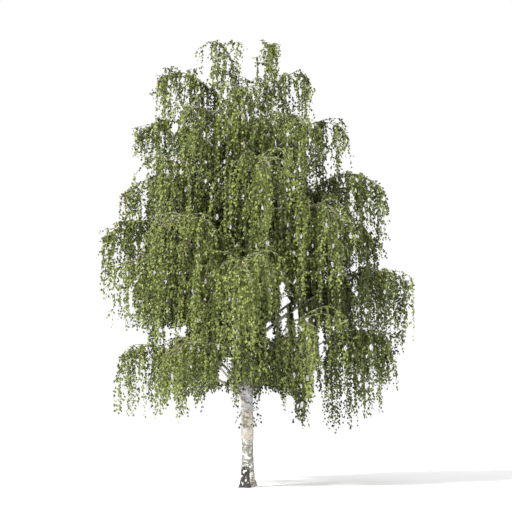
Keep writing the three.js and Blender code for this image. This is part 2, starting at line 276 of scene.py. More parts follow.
def add_node(
    tree: bpy.types.NodeTree,
    kind: str,
    values: dict[str | int, object] | None = None,
    links: dict[str | int, bpy.types.NodeSocket] | None = None,
    **settings: object,
) -> bpy.types.Node:
    """Adds one node to a material.

    Args:
        tree: The material's nodes.
        kind: The node's type in Blender.
        values: Input names or numbers and their values.
        links: Input names or numbers and the outputs that feed them.
        **settings: The node's own settings.

    Returns:
        The new node.
    """
    node = tree.nodes.new(kind)
    for name, value in settings.items():
        setattr(node, name, value)
    for key, value in (values or {}).items():
        node.inputs[key].default_value = value
    for key, socket in (links or {}).items():
        tree.links.new(socket, node.inputs[key])
    return node


def new_material(name: str) -> tuple[Material, bpy.types.NodeTree]:
    """Makes an empty node material.

    Args:
        name: Its name.

    Returns:
        The material and its nodes.
    """
    material = bpy.data.materials.new(name)
    material.use_nodes = True
    material.node_tree.nodes.clear()
    return material, material.node_tree


@dataclass(frozen=True)
class PlainFinish:
    """A finish of one colour, for things too small to show a pattern of their own."""

    name: str
    colour: str
    roughness: float
    specular: float = 0.5
    ior: float = 1.45  # of leaf wax and of young bark

    def make(self) -> Material:
        """Makes the material, with every value on the shader's own sockets.

        Returns:
            The new material.
        """
        material, tree = new_material(self.name)
        looks = {"Base Color": linear(self.colour), "Roughness": self.roughness, "IOR": self.ior}
        surface = add_node(tree, "ShaderNodeBsdfPrincipled", looks | {"Specular IOR Level": self.specular})
        add_node(tree, "ShaderNodeOutputMaterial", links={"Surface": surface.outputs["BSDF"]})
        return material


class LeafTint(Enum):
    """Birch leaves, smooth and a little waxy above, in tints from deep green through sage to fresh green, and
    a few turning yellow. Each spray of leaves has one of these tints, dealt partly by chance and partly as
    painted light and shade: the darker tints are painted shade low down and near the trunk, and the paler
    ones painted light far out, high up and on the sunny side."""

    DEEP = PlainFinish("leaf_deep_green", "#20250e", 0.45, 0.2)
    OLIVE = PlainFinish("leaf_olive_green", "#313814", 0.45, 0.2)
    GREEN = PlainFinish("leaf_mid_green", "#414a1d", 0.45, 0.2)
    SAGE = PlainFinish("leaf_sage_green", "#5b6432", 0.45, 0.25)
    FRESH = PlainFinish("leaf_fresh_green", "#666f35", 0.45, 0.2)
    YELLOW = PlainFinish("leaf_turning_yellow", "#83823d", 0.5, 0.25)


# The stems and the stouter twigs begin to turn silver like the boughs: greyer, paler and matt
SILVER_TWIG_BARK = PlainFinish("silver_twig_bark", "#7d776a", 0.65, 0.35)

# Hanging strands and shoots are young wood: smooth, grey-brown and a little shiny
TWIG_BARK = PlainFinish("twig_bark", "#696155", 0.6, 0.4)


@dataclass(frozen=True)
class Bark:
    """Birch bark, matt and papery: a pale ground with a fine grain, and over it layers of colour. Each layer
    shows where one of the mesh's own attributes says."""

    name: str
    ground: str
    grain_colour: str
    layers: tuple[tuple[str, str], ...]  # the attribute and the colour of each, from the lowest up
    grain_share: float = 0.5
    grain_size: float = 0.03  # drawn coarser than the real grain so that it shows
    grain_limits: Pair = (0.46, 0.66)  # of its noise, from none of it to the most
    grain_detail: float = 3.0
    relief: float = 0.35
    relief_depth: float = 0.004
    roughness: float = 0.72
    specular: float = 0.35
    ior: float = 1.5

    def make(self) -> Material:
        """Makes the material: the ground, the grain, each layer over the ones before, and a faint relief.

        Returns:
            The new material.
        """
        material, tree = new_material(self.name)
        place = add_node(tree, "ShaderNodeTexCoord").outputs["Object"]
        scale = {"Scale": 1.0 / self.grain_size, "Detail": self.grain_detail}
        cloud = add_node(tree, "ShaderNodeTexNoise", scale, {"Vector": place}).outputs["Fac"]
        low, high = self.grain_limits
        limits = {"From Min": low, "From Max": high, "To Max": self.grain_share}
        eased = {"interpolation_type": "SMOOTHSTEP"}
        grain = add_node(tree, "ShaderNodeMapRange", limits, {"Value": cloud}, **eased).outputs["Result"]
        pair = {MIX_FIRST: linear(self.ground), MIX_SECOND: linear(self.grain_colour)}
        mixed = add_node(tree, "ShaderNodeMix", pair, {MIX_SHARE: grain}, data_type="RGBA")
        for name, tint in self.layers:
            share = add_node(tree, "ShaderNodeAttribute", attribute_name=name).outputs["Fac"]
            given = {MIX_SHARE: share, MIX_FIRST: mixed.outputs[MIX_RESULT]}
            mixed = add_node(tree, "ShaderNodeMix", {MIX_SECOND: linear(tint)}, given, data_type="RGBA")
        relief = {"Strength": self.relief, "Distance": self.relief_depth}
        bump = add_node(tree, "ShaderNodeBump", relief, {"Height": cloud})
        looks = {"Roughness": self.roughness, "Specular IOR Level": self.specular, "IOR": self.ior}
        links = {"Base Color": mixed.outputs[MIX_RESULT], "Normal": bump.outputs["Normal"]}
        surface = add_node(tree, "ShaderNodeBsdfPrincipled", looks, links)
        add_node(tree, "ShaderNodeOutputMaterial", links={"Surface": surface.outputs["BSDF"]})
        return material


# The trunk's white bark: it peels in thin sheets of rose and cream, is stained grey and green near the foot,
# and is broken up there by black cork
TRUNK_BARK = Bark(
    name="papery_trunk_bark",
    ground="#c1beb8",
    grain_colour="#9a978f",
    layers=(
        ("cream", "#b0a79a"),
        ("rose", "#a5978b"),
        ("taupe", "#7e7668"),
        ("lilac", "#a09ea2"),
        ("grey", "#74746a"),
        ("green", "#686b5e"),
        ("earth", "#6e695f"),
        ("fleck", "#bdbbb5"),
        ("pore", "#524b43"),
        ("cork", "#1a1714"),
    ),
)

# The boughs' young bark: thin and silvery, with level bars of pores and a brown bloom
BOUGH_BARK = Bark(
    name="silver_bough_bark",
    ground="#b7b4ac",
    grain_colour="#8f8a7f",
    layers=(("bloom", "#847a6d"), ("pore", "#5b5047")),
)


@dataclass(frozen=True)
class TrunkLine:
    """The trunk's middle line and radius: its levels are height, place to the right and back, and radius."""

    levels: tuple[tuple[float, float, float, float], ...] = (
        (0.0, 0.0, 0.0, 0.165),
        (1.3, -0.016, 0.010, 0.157),
        (2.4, -0.027, 0.020, 0.149),
        (4.4, 0.010, -0.015, 0.132),
        (6.4, 0.027, 0.0, 0.108),
        (7.7, -0.014, 0.020, 0.086),
        (8.75, 0.120, 0.005, 0.068),
        (9.8, -0.060, -0.010, 0.048),
        (10.5, -0.245, 0.0, 0.034),
        (11.15, -0.420, 0.005, 0.020),
    )

    def at(self, heights: Array) -> tuple[Array, Array]:
        """Gives the line at heights: its middle is eased between the levels, and its radius is straight.

        Args:
            heights: The heights.

        Returns:
            The middle points, as (heights, 3), and the radii.
        """
        table = np.array(self.levels)
        low = np.clip(np.searchsorted(table[:, 0], heights, side="right") - 1, 0, len(table) - 2)
        share = np.clip((heights - table[low, 0]) / (table[low + 1, 0] - table[low, 0]), 0.0, 1.0)
        eased = ease(0.0, 1.0, share)[:, None]
        across = mix(table[low, 1:3], table[low + 1, 1:3], eased)
        return np.column_stack([across, heights]), mix(table[low, 3], table[low + 1, 3], share)

    def point(self, height: float) -> Array:
        """Gives the middle point at one height."""
        return self.at(np.array([height]))[0][0]

    def top(self, length: float) -> Array:
        """Gives a curve along the last length of the trunk, as four points on it."""
        end = self.levels[-1][0]
        return self.at(np.linspace(end - length, end, 4))[0]


@dataclass(frozen=True)
class Stain:
    """A stain of the trunk's bark: the heights that it lies between, how much of the bark it takes there, and
    the size of its patches, as their number round the trunk and their height."""

    name: str
    low: float
    high: float
    cover: float
    columns: int
    length: float
    ragged: float = 0.34  # how far its upper and lower ends run up and down
    soft_end: float = 0.03
    soft_edge: float = 0.12  # of a patch, in the noise that makes it
    fine_ends: float = 0.6  # how much of the ends the finer patches make
    fine_patches: float = 0.3  # how much of the patches they make

    def mask(self, turn: Array, height: Array, rng: Rng) -> Array:
        """Gives how far each place is stained: 1 in its patches between its heights, with ragged ends.

        Args:
            turn: The share of a full turn round the trunk of each place.
            height: The height of each place.
            rng: The source of the random numbers.

        Returns:
            The stain at each place, from 0 to 1.
        """
        patches = cells(turn, height, (self.columns, self.length), rng)
        detail = cells(turn, height, (3 * self.columns, self.length / 3.0), rng)
        ends = self.fine_ends * detail + (1.0 - self.fine_ends) * patches
        ragged = height + self.ragged * (ends - 0.5)
        above = ease(self.low - self.soft_end, self.low + self.soft_end, ragged)
        between = above * (1.0 - ease(self.high - self.soft_end, self.high + self.soft_end, ragged))
        limit = 1.0 - self.cover
        mixed = (1.0 - self.fine_patches) * patches + self.fine_patches * detail
        return between * ease(limit - self.soft_edge, limit + self.soft_edge, mixed)


@dataclass
class Trunk:
    """The trunk from its flat cut to its tip, with root flare, papery bark and corky plates at its foot."""

    line: TrunkLine
    sides: int = 160
    seen_height: float = 2.75  # below this the bark shows from all sides
    fine_step: float = 0.0075
    coarse_step: float = 0.046
    flare: float = 0.078
    flare_height: float = 0.21
    roots: int = 5
    root_depth: float = 0.4
    root_turn: float = 40.0
    cork_height: float = 0.56
    cork_bearing: float = 205.0  # the side of the foot that is most broken up
    cork_share: Pair = (0.14, 0.72)  # how readily it grows on the whole side and the broken
    cork_side: Pair = (0.44, 0.7)  # how far a place faces the bearing, from whole to broken
    cork_ragged: Pair = (0.12, 0.1)  # how far its top runs up and down by edges and patches
    cork_fade: Pair = (0.04, 0.06)  # how far its top fades below and above its height
    cork_limits: Pair = (0.46, 0.54)  # of its noise, from none to the whole
    cork_fine: float = 0.38  # how much of its noise the edges make
    crack_width: float = 0.3
    cork_relief: float = 0.009
    crack_relief: float = 0.012
    pore_relief: float = 0.002
    sheet_relief: float = 0.0016
    collar_height: float = 1.60  # a dark ring of pores where a bough was shed, on the side at the bearing
    collar_bearing: float = 225.0
    collar_side: Pair = (0.72, 0.92)  # how far a place faces the bearing, from none to full
    collar_depth: float = 0.9
    collar_width: float = 0.02
    collar_wave: float = 0.012
    cork_patches: tuple[int, float] = (17, 0.062)  # of these: their number round the trunk and their height
    cork_edges: tuple[int, float] = (44, 0.024)
    cork_plates: tuple[int, float] = (24, 0.085)
    sheets: tuple[int, float] = (7, 0.09)
    pore_bars: tuple[int, float] = (20, 0.017)
    pore_groups: tuple[int, float] = (9, 0.13)
    bar_limits: Pair = (0.66, 0.8)  # of these: their noise, from none to the whole
    group_limits: Pair = (0.35, 0.6)
    stains: tuple[Stain, ...] = (
        Stain("cream", 1.14, 1.72, 0.66, 7, 0.10),
        Stain("rose", 1.30, 2.06, 0.56, 8, 0.12),
        Stain("taupe", 1.56, 2.04, 0.42, 11, 0.07),
        Stain("lilac", 2.04, 4.00, 0.72, 5, 0.16),
        Stain("grey", 0.56, 1.20, 0.70, 13, 0.07),
        Stain("green", 0.46, 1.02, 0.38, 14, 0.06),
        Stain("earth", 0.0, 0.24, 0.62, 14, 0.05),
        Stain("fleck", 0.30, 2.30, 0.38, 17, 0.045),
    )

    def rings(self) -> Array:
        """Gives the heights of the rings, close together where the bark shows.

        Returns:
            The heights.
        """
        top = self.line.levels[-1][0]
        fine = np.arange(0.0, self.seen_height, self.fine_step)
        return np.concatenate([fine, np.arange(self.seen_height, top, self.coarse_step), [top]])

    def cork(self, angle: Array, height: Array, rng: Rng) -> tuple[Array, Array]:
        """Gives how far the bark is corky, and how deep its cracks are, each from 0 to 1.

        Cork grows where patches of noise pass a limit, which is lowest on the foot's most broken side, and a
        crack runs where a second, upright noise is near its middle.

        Args:
            angle: The angle round the trunk of each corner.
            height: The height of each corner.
            rng: The source of the random numbers.

        Returns:
            The cork and the cracks.
        """
        turn = angle / (2.0 * math.pi)
        patches = cells(turn, height, self.cork_patches, rng)
        edges = cells(turn, height, self.cork_edges, rng)
        by_edges, by_patches = self.cork_ragged
        ragged = height + by_edges * (edges - 0.5) + by_patches * (patches - 0.5)
        below, above = self.cork_fade
        low = 1.0 - ease(self.cork_height - below, self.cork_height + above, ragged)
        wanted = mix(*self.cork_share, ease(*self.cork_side, facing(angle, self.cork_bearing)))
        mixed = (1.0 - self.cork_fine) * patches + self.cork_fine * edges
        cork = ease(*self.cork_limits, mixed + wanted - 0.5) * low
        plates = cells(turn, height, self.cork_plates, rng)
        crack = 1.0 - ease(0.0, self.crack_width, np.abs(2.0 * plates - 1.0))
        return cork, crack * cork

    def surface(self, rng: Rng) -> tuple[Array, dict[str, Array]]:
        """Works out the corners and the bark's attributes.

        The radius is the line's, plus the flare times e^(-height / its height) times (1 + depth cos(roots a +
        turn)), plus the relief of sheets, pores, cork and cracks.

        Args:
            rng: The source of the random numbers.

        Returns:
            The corners, as (rings, sides, 3), and the attributes by name, as (rings, sides).
        """
        heights = self.rings()
        middles, radii = self.line.at(heights)
        angles = 2.0 * math.pi * np.arange(self.sides) / self.sides
        angle, height = np.meshgrid(angles, heights)
        turn = angle / (2.0 * math.pi)
        cork, crack = self.cork(angle, height, rng)
        sheets = cells(turn, height, self.sheets, rng)
        bars = cells(turn, height, self.pore_bars, rng)
        groups = cells(turn, height, self.pore_groups, rng)
        wave = self.collar_wave * np.sin(2 * angle)
        ring = np.exp(-(((height - self.collar_height - wave) / self.collar_width) ** 2))
        collar = self.collar_depth * ring * ease(*self.collar_side, facing(angle, self.collar_bearing))
        grouped = ease(*self.bar_limits, bars) * ease(*self.group_limits, groups)
        pore = np.clip(grouped + collar, 0.0, 1.0) * (1.0 - cork)
        ridge = 1.0 + self.root_depth * np.cos(self.roots * angle + math.radians(self.root_turn))
        reach = radii[:, None] + self.flare * np.exp(-height / self.flare_height) * ridge
        fade = np.minimum(1.0, radii[:, None] / radii[0])
        relief = self.sheet_relief * (2 * sheets - 1) - self.pore_relief * pore
        reach = reach + fade * (relief + self.cork_relief * cork - self.crack_relief * crack)
        across = np.stack([np.cos(angle), np.sin(angle)], axis=-1) * reach[..., None]
        corners = np.concatenate([middles[:, None, :2] + across, height[..., None]], axis=-1)
        looks = {stain.name: stain.mask(turn, height, rng) for stain in self.stains}
        return corners, looks | {"pore": pore, "cork": cork}

    def build(self, bark: Material, rng: Rng) -> Piece:
        """Makes the trunk's mesh, closed at its cut and its tip, and dresses it.

        Args:
            bark: Its material.
            rng: The source of the random numbers.

        Returns:
            The new object.
        """
        corners, attributes = self.surface(rng)
        index = np.arange(corners.shape[0] * self.sides).reshape(-1, self.sides)
        low, high = index[:-1], index[1:]
        walls = np.stack([low, np.roll(low, -1, axis=1), np.roll(high, -1, axis=1), high], axis=-1)
        parts = MeshParts()
        parts.add(corners, [walls.reshape(-1, 4), index[:1, ::-1], index[-1:]])
        piece = parts.build("trunk_bark", smooth=True)
        for name, values in attributes.items():
            set_attribute(piece, name, values)
        piece.data.materials.append(bark)
        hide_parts("trunk")
        log.info("trunk: %d triangles", parts.triangles())
        return piece


def set_attribute(piece: Piece, name: str, values: Array) -> None:
    """Gives each corner of a piece its own value under a name."""
    attribute = piece.data.attributes.new(name, "FLOAT", "POINT")
    attribute.data.foreach_set("value", np.ascontiguousarray(values, dtype=np.float32).ravel())


@dataclass(frozen=True)
class Tier:
    """A storey of boughs."""

    name: str
    crest: float  # the height of their arch
    sink: float  # how much lower it is at the front and back
    dip: float  # how much lower it is on the left
    left: float  # how far they reach on the left
    right: float  # how far they reach on the right
    hang: float  # how far their foliage hangs
    bearings: tuple[float, ...]
    thin: bool = False

    def reach(self, bearing: float) -> float:
        """Gives the reach on a bearing, between the left one and the right one by its cosine."""
        return mix(self.left, self.right, (1.0 + math.cos(math.radians(bearing))) / 2.0)

    def lower(self, bearing: float) -> float:
        """Gives how much lower the arch is on a bearing for lying on the left."""
        return self.dip * max(0.0, -math.cos(math.radians(bearing)))


TIERS = (
    Tier("skirt", 4.05, 0.0, 0.45, 3.70, 4.15, 2.42, (4, 66, 128, 184, 240, 297)),
    Tier("low", 5.60, 0.0, 0.0, 4.00, 4.70, 2.05, (-3, 48, 104, 156, 215, 268)),
    Tier("wide", 6.95, 0.0, 0.0, 4.20, 3.90, 2.10, (16, 78, 130, 179, 238, 306)),
    Tier("middle", 8.25, 0.0, 0.0, 3.76, 3.90, 2.15, (-2, 52, 110, 168, 214, 276)),
    Tier("shoulder", 9.80, 0.2, 0.0, 3.28, 2.85, 1.95, (8, 88, 176, 238, 300), thin=True),
    Tier("upper", 11.12, 0.7, 0.0, 2.65, 1.96, 1.50, (-10, 82, 178, 262), thin=True),
)


@dataclass(frozen=True)
class Arch:
    """How boughs and stems bend: shares of their reach, and depths below the crest in shares of the climb."""

    stagger: float = 0.24
    lift: float = 0.4
    rise: float = 0.42
    thin_rise: float = 0.5
    bough: tuple[Pair, ...] = ((0.2, 0.5), (0.38, 0.34), (0.5, 0.13))
    ahead: float = 0.15
    over: Pair = (0.82, -0.12)
    end: float = 0.92
    drop: float = 0.24
    deepest: float = 1.1

    def curves(self, tier: Tier, index: int, line: TrunkLine, stream: Stream) -> tuple[Array, Array, float]:
        """Gives the curve of a bough, the curve of the stem beyond it, and how far its foliage hangs.

        Args:
            tier: The tier that it belongs to.
            index: Its number in the tier, from 0.
            line: The trunk's line.
            stream: The source of the arch's own height.

        Returns:
            The control points of both curves, as (4, 3), and the hang.
        """
        bearing = tier.bearings[index]
        reach = tier.reach(bearing)
        rise = (self.thin_rise if tier.thin else self.rise) * reach
        hang = tier.hang - tier.lower(bearing)
        across = abs(math.sin(math.radians(bearing)))
        lift = self.lift * (2.0 * stream.next() - 1.0)
        crest = tier.crest - tier.lower(bearing) + across * (lift - tier.sink)
        foot = line.point(crest - rise + (index % 2) * self.stagger)
        shares = np.array([*(share for share, _ in self.bough), self.over[0], self.end])
        below = np.array([*(depth * rise for _, depth in self.bough), self.over[1] * rise, self.drop * hang])
        ground = foot * (1.0 - UP)
        places = ground + shares[:, None] * reach * level(bearing) + (crest - below)[:, None] * UP
        bough = np.array([foot, *places[:3]])
        ahead = bough[3] + self.ahead * reach * unit(bough[3] - bough[2])
        return bough, np.array([bough[3], ahead, *places[3:]]), hang


@dataclass(frozen=True)
class Leader:
    """One of the two leaders at the top, with its stem and the mass that it bears."""

    name: str
    crest: float  # the height of its arch
    out: float  # how far to the right its stem ends
    hang: float
    reach: float
    leaves: float | None = None  # the height at which its limb leaves the trunk, where it has one
    bow: tuple[float, float, float] = (0.0, 0.0, 0.0)
    tip: tuple[float, float, float] = (0.0, 0.0, 0.0)
    climb: float = 0.4
    over: float = 0.7
    drop: float = 0.5

    def curves(self, line: TrunkLine) -> tuple[Array | None, Array]:
        """Gives the curve of its limb, where it has one beside the trunk, and the curve of its stem.

        Args:
            line: The trunk's line.

        Returns:
            The control points of each, or None in place of the first.
        """
        limb, start, heading = None, line.point(line.levels[-1][0]), UP
        if self.leaves is not None:
            limb = np.array([line.point(self.leaves), self.bow, self.tip])
            start, heading = limb[2], unit(limb[2] - limb[1])
        ahead = start + self.climb * (self.crest - start[2]) * heading
        over = np.array([start[0] + self.over * self.out, start[1], self.crest])
        end = np.array([start[0] + self.out, start[1], self.crest - self.drop * self.hang])
        return limb, np.array([start, ahead, over, end])


LEADERS = (
    Leader("leader_left", 12.312, -0.76, 0.85, 1.13),
    Leader("leader_right", 12.22, 0.33, 0.85, 0.80, 9.05, (0.40, 0.23, 9.90), (0.45, 0.06, 10.85)),
)


@dataclass
class Boughs:
    """All the boughs and the limbs of the thin tiers, each one tapering limb with ridged young bark."""

    sides: int = 12
    places: int = 32
    collar: float = 0.45  # how much a limb swells where it leaves the trunk
    collar_length: float = 0.16
    relief: float = 0.05
    ridges: int = 6  # round a limb
    ridge_length: float = 0.045
    bars: float = 2.2  # of pores along each ridge
    bloom_limits: Pair = (0.5, 0.85)  # of these: their noise, from none to the most
    pore_limits: Pair = (0.68, 0.85)
    most: float = 0.8
    curves: list[Array] = field(default_factory=list)
    radii: list[Pair] = field(default_factory=list)

    def add(self, curve: Array, root: float, tip: float) -> None:
        """Adds a limb by its curve and its radii at the root and the tip."""
        self.curves.append(curve if len(curve) == 4 else raised(curve))
        self.radii.append((root, tip))

    def build(self, bark: Material, rng: Rng, nodes: list[str]) -> Piece:
        """Makes one mesh of all the limbs.

        A limb's radius falls straight from its root to its tip and swells by e^(-distance / length) at its
        collar, and it bears smooth noise as the relief of its bark.

        Args:
            bark: Its material.
            rng: The source of the random numbers.
            nodes: The solids that it stands for.

        Returns:
            The new object.
        """
        control = np.stack(self.curves, axis=1)
        shares = np.tile(np.linspace(0.0, 1.0, self.places), (len(self.curves), 1))
        lines = bezier(control, shares)
        steps = np.linalg.norm(np.diff(lines, axis=1), axis=2)
        travelled = np.concatenate([np.zeros((len(lines), 1)), np.cumsum(steps, axis=1)], axis=1)
        radii = np.array(self.radii)
        swollen = 1.0 + self.collar * np.exp(-travelled / self.collar_length)
        reach = mix(radii[:, :1], radii[:, 1:], shares) * swollen
        turn = np.broadcast_to(np.arange(self.sides) / self.sides, (*reach.shape, self.sides))
        place = travelled / self.ridge_length + 3.0 * np.arange(len(lines))[:, None]
        place = np.broadcast_to(place[..., None], turn.shape)
        bumps = noise(turn * self.ridges, place, self.ridges, rng)
        bars = noise(turn * self.ridges, self.bars * place, self.ridges, rng)
        out = lines[:, -1] - lines[:, 0]
        across = unit(np.cross(UP, out))
        corners, faces = tubes(lines, reach[..., None] * (1 + self.relief * (2 * bumps - 1)), across)
        parts = MeshParts()
        parts.add(corners, faces)
        piece = parts.build("bough_bark", smooth=True)
        looks = {"bloom": ease(*self.bloom_limits, bumps), "pore": ease(*self.pore_limits, bars)}
        for name, values in looks.items():
            at_corners = self.most * values[:, :-1].reshape(len(lines), -1)
            set_attribute(piece, name, np.column_stack([at_corners, np.zeros(len(lines))]))
        piece.data.materials.append(bark)
        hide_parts(*nodes)
        log.info("boughs: %d limbs, %d triangles", len(lines), parts.triangles())
        return piece


def raised(curve: Array) -> Array:
    """Gives the same curve with four control points in place of three."""
    start, bow, end = curve
    return np.array([start, mix(start, bow, 2.0 / 3.0), mix(end, bow, 2.0 / 3.0), end])


@dataclass(frozen=True)
class Opening:
    """A place where the viewer sees past the nearer leaves: an ellipse in the trunk's plane. The sky shows
    through one that is clear all the way back, and a limb through one that ends at it."""

    x: float
    z: float
    half_width: float
    half_height: float
    back: float = 9.0  # how far behind the trunk's plane it is kept clear


# The large gaps, and last the eight small ones that show pale lengths of limb
OPENINGS = tuple(
    Opening(*row)
    for row in (
        (-1.98, 9.65, 0.12, 0.12), (-3.02, 8.55, 0.24, 0.24), (0.98, 4.75, 0.07, 0.42),
        (0.93, 4.35, 0.10, 0.32), (0.90, 5.24, 0.10, 0.15), (1.27, 4.49, 0.08, 0.30),
        (1.92, 3.86, 0.10, 0.46), (0.57, 4.10, 0.12, 0.28), (-0.53, 3.32, 0.09, 0.10),
        (1.77, 2.81, 0.06, 0.28), (1.80, 2.10, 0.15, 0.30), (1.08, 2.15, 0.12, 0.30),
        (3.72, 2.30, 0.24, 0.34), (-1.78, 4.12, 0.20, 0.12), (-2.08, 4.04, 0.16, 0.12),
        (-3.20, 3.92, 0.60, 0.26), (-0.67, 2.95, 0.14, 0.28), (-0.02, 2.20, 0.27, 0.48, 0.3),
        (-0.09, 11.41, 0.12, 0.42), (0.38, 11.20, 0.09, 0.18), (-0.76, 2.16, 0.50, 0.42),
        (0.60, 2.16, 0.44, 0.42), (-3.12, 5.05, 0.09, 0.26), (-2.85, 8.25, 0.16, 0.22),
        (2.62, 8.62, 0.14, 0.26), (-1.97, 2.08, 0.14, 0.26), (-1.48, 2.16, 0.12, 0.28),
        (-2.12, 6.79, 0.12, 0.07, -0.02), (-1.85, 6.61, 0.14, 0.07, -0.02),
        (-1.57, 6.45, 0.13, 0.06, -0.02), (2.33, 3.98, 0.16, 0.06, 0.15), (0.88, 9.18, 0.12, 0.07, 0.0),
        (-0.76, 7.42, 0.14, 0.06, 0.1), (0.05, 8.30, 0.05, 0.26, -0.12), (-0.04, 10.00, 0.05, 0.22, -0.1),
    )
)


@dataclass(frozen=True)
class Viewer:
    """Where the photograph was taken from, how much it takes in, and where it shows through the crown."""

    distance: float = 32.0
    aside: float = 0.208
    eye: float = 1.7
    pitch: float = 7.778
    sensor: float = 36.0  # in millimetres, and so is the lens
    lens: float = 85.18
    farthest: float = 400.0
    openings: tuple[Opening, ...] = OPENINGS

    def on_plane(self, points: Array) -> tuple[Array, Array]:
        """Gives how far to the right and how high points show in the trunk's plane.

        A point shows where its line of sight crosses the plane: its distance aside and above the eye is
        multiplied by the eye's distance from the trunk over its distance from the point.

        Args:
            points: The points, in any shape that ends in 3.

        Returns:
            The two values for each.
        """
        stretch = self.distance / (points[..., 1] + self.distance)
        right = self.aside + (points[..., 0] - self.aside) * stretch
        return right, self.eye + (points[..., 2] - self.eye) * stretch

    def clear(self, points: Array, size: Array | float) -> Array:
        """Gives True for each point that no opening takes.

        Args:
            points: The points, in any shape that ends in 3.
            size: How large the openings are for each point, as a share of their usual area.

        Returns:
            True or False for each.
        """
        x, z = self.on_plane(points)
        keep = np.ones(points.shape[:-1], dtype=bool)
        for gap in self.openings:
            outside = ((x - gap.x) / gap.half_width) ** 2 + ((z - gap.z) / gap.half_height) ** 2 > size
            keep &= outside | (points[..., 1] > gap.back)
        return keep

    def make_camera(self) -> None:
        """Makes the camera that the scene is seen with."""
        camera = bpy.data.cameras.new("viewer")
        camera.sensor_width = self.sensor
        camera.lens = self.lens
        camera.clip_end = self.farthest
        place = bpy.data.objects.new("viewer", camera)
        place.location = (self.aside, -self.distance, self.eye)
        place.rotation_euler = (math.radians(90.0 + self.pitch), 0.0, 0.0)
        bpy.context.scene.collection.objects.link(place)
        bpy.context.scene.camera = place


@dataclass
class SkySpecks:
    """Small upright gaps between the leaves, where the viewer sees the sky. The trunk's plane is cut in
    cells, and some of them hold one gap, at a place and of a size of its own."""

    width: float = 0.17
    height: float = 0.25
    low: Pair = (-6.0, 0.0)
    cells: tuple[int, int] = (76, 56)
    share: float = 0.26  # of the cells that hold one
    half_width: Pair = (0.1, 0.3)  # of a cell
    half_height: Pair = (0.12, 0.4)
    shift: float = 0.3
    seed: int = 77
    table: Array = field(init=False)

    def __post_init__(self) -> None:
        """Draws the four random numbers of each cell."""
        self.table = np.random.default_rng(self.seed).random((*self.cells, 4))

    def clear(self, x: Array, z: Array) -> Array:
        """Gives True for each place of the trunk's plane that lies in no gap.

        A place lies in its cell's gap where (u / half width)^2 + (v / half height)^2 is below 1, with u and v
        its distances from the gap's middle in cells.

        Args:
            x: How far to the right each place is.
            z: How high each place is.

        Returns:
            True or False for each.
        """
        across, up = (x - self.low[0]) / self.width, (z - self.low[1]) / self.height
        chance, aside, above, size = np.moveaxis(self.table[across.astype(int), up.astype(int)], -1, 0)
        u = across % 1.0 - 0.5 - self.shift * (aside - 0.5)
        v = up % 1.0 - 0.5 - self.shift * (above - 0.5)
        far = (u / mix(*self.half_width, size)) ** 2 + (v / mix(*self.half_height, size)) ** 2
        return (far > 1.0) | (chance > self.share)


@dataclass(frozen=True)
class Room:
    """The space that growth keeps to: the box that the solids fill, less the viewer's openings."""

    viewer: Viewer
    low: Array
    high: Array
    skin: float = 0.007  # how far inside the box the twigs' lines stay, for their own thickness
    specks: SkySpecks = field(default_factory=SkySpecks)

    def inside(self, points: Array) -> Array:
        """Gives True for each point that lies in the box, for points in any shape that ends in 3."""
        return ((points > self.low + self.skin) & (points < self.high - self.skin)).all(axis=-1)

    def leafy(self, points: Array) -> Array:
        """Gives True for each point that no speck of sky takes, for points in any shape that ends in 3."""
        return self.specks.clear(*self.viewer.on_plane(points))


@dataclass(frozen=True)
class Wood:
    """One kind of wood in the crown, and how it bears its leaves."""

    places: int  # the number of points on each line
    sides: int
    radii: Pair  # at the root and the tip
    leaf_step: float
    leaf_droop: Pair  # how far its leaves point down, or below 0 up
    finish: int  # its number in the barks of twigs


STEM = Wood(20, 6, (0.016, 0.005), 0.045, (-0.7, 1.2), 0)
TWIG = Wood(7, 5, (0.007, 0.0025), 0.048, (-0.7, 1.2), 0)
STRAND = Wood(5, 3, (0.0024, 0.001), 0.05, (0.7, 2.2), 1)
SHOOT = Wood(3, 3, (0.0016, 0.001), 0.05, (0.7, 2.2), 1)


